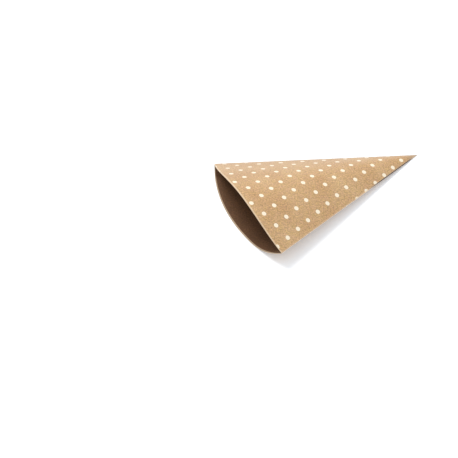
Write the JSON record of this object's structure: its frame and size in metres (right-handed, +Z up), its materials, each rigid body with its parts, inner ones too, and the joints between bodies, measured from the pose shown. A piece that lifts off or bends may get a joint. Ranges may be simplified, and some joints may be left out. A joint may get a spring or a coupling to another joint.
{
  "type": "paper cone bag",
  "caption": "Open cone bag folded from one sheet of brown kraft card with a printed dot pattern, glued along one edge and lying on its side.",
  "frame": {"origin": "middle of the footprint, on the surface that the bag lies on", "axes": "+Z up; +X from the open mouth to the tip, along the bag's length; +Y to the side of the plain fold, -Y to the glued seam"},
  "size_m": [0.1888, 0.1354, 0.0379],
  "materials": {
    "kraft_card": "matt brown kraft card, with cream-white printed dots"
  },
  "bodies": {
    "root": {"paper_cone": "kraft_card"}
  },
  "joints": []
}
